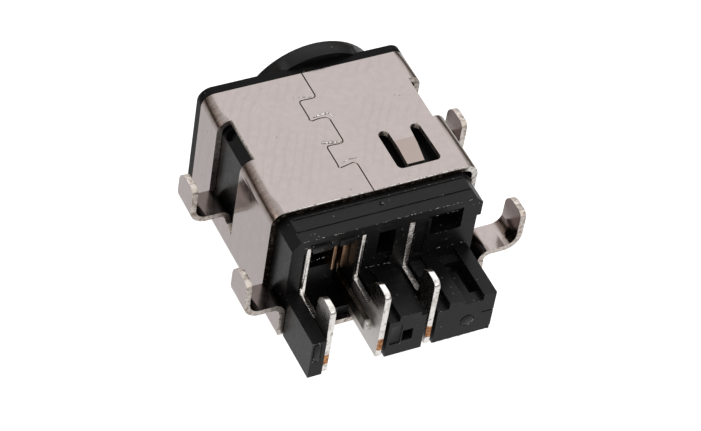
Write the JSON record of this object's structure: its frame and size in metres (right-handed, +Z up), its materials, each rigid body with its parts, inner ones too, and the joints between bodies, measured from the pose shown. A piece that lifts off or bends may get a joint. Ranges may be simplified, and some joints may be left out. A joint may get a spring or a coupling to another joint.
{
  "type": "dc barrel jack",
  "caption": "Shielded mid-mount DC barrel jack with a round collar, centre post, four shell solder tabs and rear blade terminals.",
  "frame": {"origin": "on the plug axis, in the plane where the flange's rear face meets the front edge of the shield shell", "axes": "+Y along the plug axis out of the mouth, +Z up towards the board and the prong tips, +X to the right seen from the rear"},
  "size_m": [0.0163, 0.016, 0.0084],
  "materials": {
    "nickel_sheet": "satin nickel plate",
    "black_plastic": "semi-matte moulded",
    "plated_tube": "bright plated",
    "natural_plastic": "moulded",
    "gold_contact": "flash gold",
    "spring_copper": "bare copper alloy",
    "tinned_blade": "tin plate"
  },
  "bodies": {
    "root": {"shield_shell": "nickel_sheet", "front_housing": "black_plastic", "rear_block": "black_plastic", "centre_sleeve": "plated_tube", "insulating_bush": "natural_plastic", "signal_socket": "gold_contact", "earth_spring": "spring_copper", "terminal_left": "tinned_blade", "terminal_centre": "tinned_blade", "terminal_right": "tinned_blade"}
  },
  "joints": []
}
